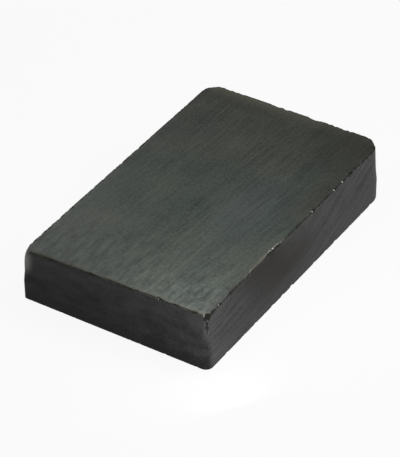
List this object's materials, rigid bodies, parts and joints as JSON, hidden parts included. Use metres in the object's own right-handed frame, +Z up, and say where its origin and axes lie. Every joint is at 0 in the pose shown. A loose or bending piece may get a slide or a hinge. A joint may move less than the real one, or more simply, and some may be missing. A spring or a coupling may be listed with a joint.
{
  "type": "block magnet",
  "caption": "Flat rectangular sintered ferrite magnet that holds or latches steel against its ground pole faces.",
  "frame": {"origin": "middle of the lower pole face, which the block lies on", "axes": "+Z up through the thickness, +Y along the length, +X across the width; the pictured front short side faces -Y and the pictured long side faces +X"},
  "size_m": [0.025, 0.04, 0.007],
  "materials": {
    "ferrite": "matte"
  },
  "bodies": {
    "root": {"magnet": "ferrite"}
  },
  "joints": []
}
